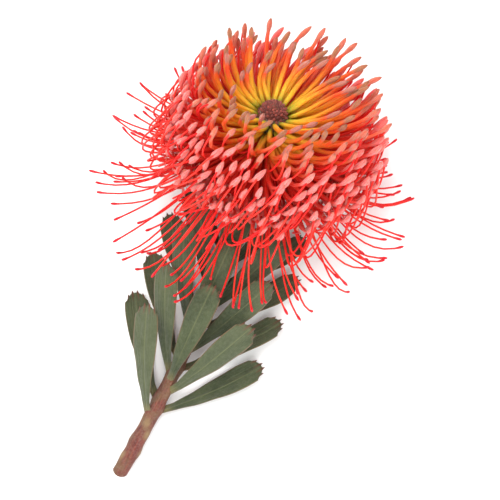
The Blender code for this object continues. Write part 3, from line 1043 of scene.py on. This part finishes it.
grow_florets(
    "upper", range(50, 112),
    tube_stops=[(0.00, LEMON), (0.36, AMBER), (0.72, VERMILION), (0.84, (0.90, 0.14, 0.07))],
    club_colours=((0.66, 0.22, 0.14), (0.50, 0.10, 0.055), (0.24, 0.08, 0.045)),
    base=((0.0090, 0.0200), (0.0096, 0.0168)), base_angle=(12, 4),
    tip=((0.0420, 0.0510), (0.0485, 0.0415)), tip_angle=(70, 79), tube_radius=(0.00128, 0.00112),
    club=(0.00142, 0.0078), bow=0.40, unruly=1.9,
)


# ---------------- middle florets
# Rows at the widest part of the head, coral tubes with pale pink silky clubs. Each style
# is still held in its club by the tip, and its slack stands out as a thin red loop.

grow_florets(
    "middle", range(112, 184),
    tube_stops=[(0.00, AMBER), (0.28, VERMILION), (0.60, SCARLET), (0.84, (0.91, 0.085, 0.065))],
    # The first club colour, for the pale streaks, is partly a painted highlight.
    club_colours=((0.92, 0.35, 0.32), (0.86, 0.060, 0.050), (0.56, 0.14, 0.11)),
    base=((0.0096, 0.0165), (0.0100, 0.0135)), base_angle=(0, -6),
    tip=((0.0488, 0.0405), (0.0525, 0.0285)), tip_angle=(80, 87), tube_radius=(0.00112, 0.00106),
    club=(0.00158, 0.0094), bow=0.75, unruly=1.2,
)


# ---------------- lower florets
# Scarlet tubes that leave the cone nearly level and turn straight up. Their pale silky
# clubs stand side by side, ready to open, over the widest loops.

grow_florets(
    "lower", range(184, 260),
    tube_stops=[(0.00, VERMILION), (0.30, SCARLET), (0.62, SCARLET), (0.84, (0.91, 0.085, 0.070))],
    # The first club colour, for the pale streaks, is partly a painted highlight.
    club_colours=((0.93, 0.40, 0.37), (0.87, 0.062, 0.055), (0.60, 0.17, 0.14)),
    base=((0.0100, 0.0132), (0.0102, 0.0104)), base_angle=(-8, -14),
    tip=((0.0525, 0.0275), (0.0540, 0.0145)), tip_angle=(88, 91), tube_radius=(0.00106, 0.00102),
    club=(0.00160, 0.0094), bow=0.90, unruly=1.0,
)


# ---------------- outer florets
# The oldest closed florets grow lowest on the cone and dip before they turn up at the rim.
# Their clubs are the palest, on deep red tubes, and their lowest loops touch the table.

grow_florets(
    "outer", range(260, 334),
    tube_stops=[
        (0.00, SCARLET), (0.40, (0.80, 0.025, 0.022)), (0.66, SCARLET),
        (0.84, (0.91, 0.085, 0.070)),
    ],
    # The first club colour, for the pale streaks, is partly a painted highlight.
    club_colours=((0.93, 0.43, 0.40), (0.87, 0.065, 0.060), (0.62, 0.19, 0.16)),
    base=((0.0102, 0.0100), (0.0104, 0.0070)), base_angle=(-16, -22),
    tip=((0.0540, 0.0135), (0.0520, -0.0010)), tip_angle=(91, 94), tube_radius=(0.00102, 0.00098),
    club=(0.00156, 0.0090), bow=0.90, unruly=1.0,
)


# ---------------- opened florets
# Below the clubs the florets have opened. Each split tube curls up into a pale-tipped
# ruffle at the rim, and its freed style stands out as a long red wire with a pointed end.

STYLE_BASE = (0.0106, 0.0048)
STYLE_BASE_ANGLE = math.radians(-24)
STYLE_REACH = 0.073
STYLE_TIP_HEIGHT_FRONT = -0.002
STYLE_TIP_HEIGHT_BACK = -0.034
STYLE_TIP_ANGLE = math.radians(26)


def style_path(azimuth, reach, lift, swirl, upturn, shares):
    """Places along one freed style, from its foot to its tip."""
    front = (1 + math.cos(azimuth)) / 2
    height = STYLE_TIP_HEIGHT_BACK + (STYLE_TIP_HEIGHT_FRONT - STYLE_TIP_HEIGHT_BACK) * front
    tip_angle = STYLE_TIP_ANGLE * front + upturn
    places = []
    for share in shares:
        radius, level = profile_point(
            STYLE_BASE, STYLE_BASE_ANGLE, (reach, height + lift), tip_angle, share,
        )
        spot = in_head(radius, level, azimuth + swirl * share)
        places.append(rest_on_table(spot, 0.0009))
    return places


def ruffle_material():
    """Red at the foot, fading to pink and then to a cream edge that has dried brown."""
    made, tree, shader = new_material(
        "ruffle", 0.6, Sheen_Weight=0.15, Subsurface_Weight=0.4, Subsurface_Scale=0.002,
    )
    growth = record_parts(tree, "growth")
    specks = place_group(tree, blotches, Patches_per_metre=300.0)[1]
    lines, hairs = place_group(tree, fibres, Lines_round=3.0, Breaks_per_metre=200.0)
    along = colour_ramp(growth[0], [
        (0.0, (0.80, 0.018, 0.016)), (0.55, (0.88, 0.042, 0.034)), (0.80, (0.90, 0.120, 0.085)),
        (0.94, (0.90, 0.36, 0.22)), (1.0, (0.50, 0.20, 0.10)),
    ])
    streaked = mix_colours(times(lines, 0.4), along, (0.86, 0.06, 0.05))
    faded = mix_colours(times(specks, 0.15), streaked, (0.90, 0.34, 0.26))
    feed(faded, shader, "Base Color")
    bump(shader, hairs, 0.00025)
    return made


def build_opened_florets():
    """Grows the freed styles round the rim, and curls four lobes at each one's foot."""
    count = 128
    wire_radius = 0.00048
    # A slender wire to 0.94 of its length, then the knob that carried the pollen.
    slender_places = 13
    shares = [0.94 * i / (slender_places - 1) for i in range(slender_places)]
    shares += [0.960, 0.978, 0.992, 1.0]
    radii = [wire_radius] * slender_places
    radii += [wire_radius * size for size in (1.25, 1.55, 1.35, 0.55)]
    wires = new_shape()
    ruffles = new_shape()
    dice = random.Random(19)
    for number in range(count):
        azimuth = 2 * math.pi * (number + dice.uniform(-0.35, 0.35)) / count
        reach = STYLE_REACH * dice.uniform(0.84, 1.09)
        # Over the stem, where nothing stops them, the styles hang longest.
        reach *= 1 + 0.17 * ((1 - math.cos(azimuth)) / 2) ** 2
        lift = dice.uniform(-0.001, 0.010)
        swirl = dice.uniform(-0.20, 0.20)
        upturn = math.radians(dice.uniform(-8, 48))
        places = style_path(azimuth, reach, lift, swirl, upturn, shares)
        chance = dice.random()
        wire = new_shape()
        rings = sweep(wire, places, radii, 5, chance=chance)
        growth = wire.verts.layers.float_vector["growth"]
        for ring in rings[slender_places:]:
            for vert in ring:
                vert[growth] = (1.0, 1.0, chance)
        merge(wire, wires)
        # Four lobes of the split tube curl away under the clubs.
        for lobe in range(4):
            centre = azimuth + dice.uniform(-0.05, 0.05)
            seat = dice.uniform(0.034, 0.050)
            lift = dice.uniform(-0.004, 0.004)
            width = dice.uniform(0.0005, 0.0009)
            curl = dice.uniform(1.6, 4.2)
            length = dice.uniform(0.006, 0.011)
            tone = dice.random()
            ruffle = new_shape()
            grain, growth = surface_records(ruffle)
            bmesh.ops.create_grid(ruffle, x_segments=2, y_segments=9, size=1.0)
            for vert in ruffle.verts:
                side, share = vert.co.x, (vert.co.y + 1) / 2
                bend = -0.3 + curl * share**1.5
                radius = seat + length * (share * math.cos(bend * 0.6)) * 0.6
                level = -0.004 + lift + length * share * math.sin(bend)
                half = width * (0.6 + 0.8 * math.sin(math.pi * share))
                twist = 0.9 * math.sin(share * 5 + tone * 6)
                turn = centre + side * half * math.cos(twist) / radius
                turn += 0.03 * math.sin(7 * share + 9 * tone)
                level += side * half * math.sin(twist)
                vert.co = rest_on_table(in_head(radius, level, turn), 0.0006)
                vert[grain] = (side, 0.3 * side, tone + share * length)
                vert[growth] = (share, 0.0, tone)
            bmesh.ops.solidify(ruffle, geom=ruffle.faces[:], thickness=0.00022)
            merge(ruffle, ruffles)
    nodes = [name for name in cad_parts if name.startswith("open_styles_")]
    add_piece("open_style_wires", wires, [style_finish], nodes)
    add_piece("opened_ruffles", ruffles, [ruffle_material()], [])


build_opened_florets()


# ---------------- table, light and camera
# A plain pale table top under soft studio light. The camera looks down on the flower
# where it lies, from far enough off that the head keeps its shape.

VIEW_TURN = math.radians(21)
VIEW_RISE = math.radians(75)
LENS = 118
DISTANCE = 0.82
VIEW_SHIFT = 0.012


def table_material():
    made, tree, shader = new_material("table_top", 0.7, Specular_IOR_Level=0.25)
    patches = place_group(tree, blotches, Patches_per_metre=8.0)[0]
    pale = mix_colours(patches, (0.88, 0.88, 0.88), (0.90, 0.90, 0.90))
    feed(pale, shader, "Base Color")
    return made


def build_stage():
    scene = bpy.context.scene
    shape = bmesh.new()
    bmesh.ops.create_grid(shape, x_segments=1, y_segments=1, size=4.0)
    mesh = bpy.data.meshes.new("table_top")
    shape.to_mesh(mesh)
    shape.free()
    mesh.materials.append(table_material())
    table = bpy.data.objects.new("table_top", mesh)
    scene.collection.objects.link(table)
    table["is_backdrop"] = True

    low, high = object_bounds()
    middle = Vector(((low[0] + high[0]) / 2, (low[1] + high[1]) / 2, 0.030))
    looking = Vector((
        -math.sin(VIEW_TURN) * math.cos(VIEW_RISE), math.cos(VIEW_TURN) * math.cos(VIEW_RISE),
        -math.sin(VIEW_RISE),
    ))
    lights = (
        ("key", (-0.45, 0.05, 1.05), 0.9, 13.5, (1.0, 0.98, 0.95)),
        ("fill", (0.45, -0.80, 0.75), 1.0, 12.5, (1.0, 0.99, 0.98)),
        ("rim", (0.25, 0.95, 0.55), 0.6, 4.0, (1.0, 1.0, 1.0)),
    )
    for name, place, size, power, colour in lights:
        lamp = bpy.data.lights.new(name, "AREA")
        lamp.size, lamp.energy, lamp.color = size, power, colour
        holder = bpy.data.objects.new(name, lamp)
        holder.location = place
        holder.rotation_euler = (middle - Vector(place)).to_track_quat("-Z", "Y").to_euler()
        scene.collection.objects.link(holder)

    world = bpy.data.worlds.new("studio")
    world.use_nodes = True
    set_node(world.node_tree.nodes["Background"], {"Color": (1, 1, 1, 1), "Strength": 0.80})
    scene.world = world
    scene.view_settings.view_transform = "Standard"

    seen = bpy.data.cameras.new("camera")
    seen.lens = LENS
    camera = bpy.data.objects.new("camera", seen)
    aside = Vector((math.cos(VIEW_TURN), math.sin(VIEW_TURN), 0)) * VIEW_SHIFT
    camera.location = middle + aside - looking * DISTANCE
    camera.rotation_euler = looking.to_track_quat("-Z", "Y").to_euler()
    scene.collection.objects.link(camera)
    scene.camera = camera


build_stage()
